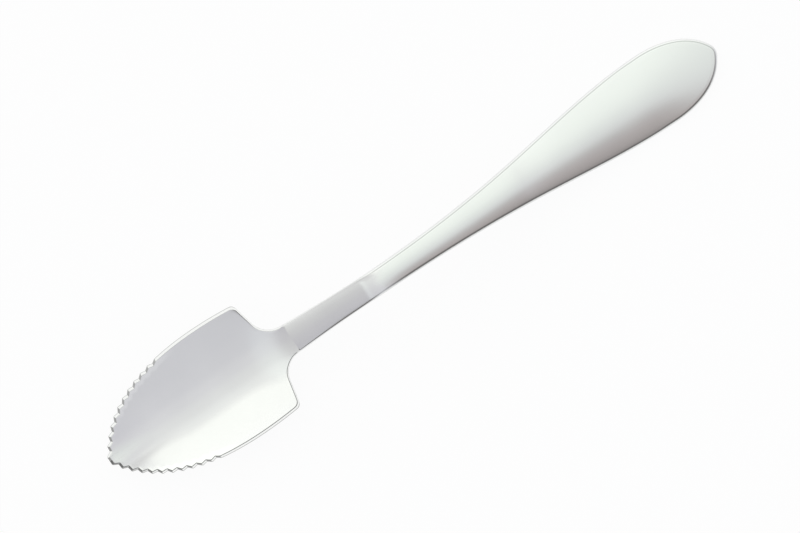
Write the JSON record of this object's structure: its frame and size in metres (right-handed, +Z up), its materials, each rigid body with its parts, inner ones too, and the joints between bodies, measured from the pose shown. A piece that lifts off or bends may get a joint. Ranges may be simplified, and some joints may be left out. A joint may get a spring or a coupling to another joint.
{
  "type": "grapefruit spoon",
  "caption": "Polished steel grapefruit spoon: a pressed, trowel-shaped bowl serrated on both sides of its nose, welded to a crowned handle that flares to a blunt point.",
  "frame": {"origin": "on the table under the middle of the spoon, lying face up on the belly of its bowl and the end of its handle", "axes": "+X from the tip of the bowl to the end of the handle, +Z up out of the bowl"},
  "size_m": [0.16, 0.0278, 0.0159],
  "materials": {
    "polished_steel": "satin polish"
  },
  "bodies": {
    "root": {"bowl": "polished_steel", "handle": "polished_steel"}
  },
  "joints": []
}
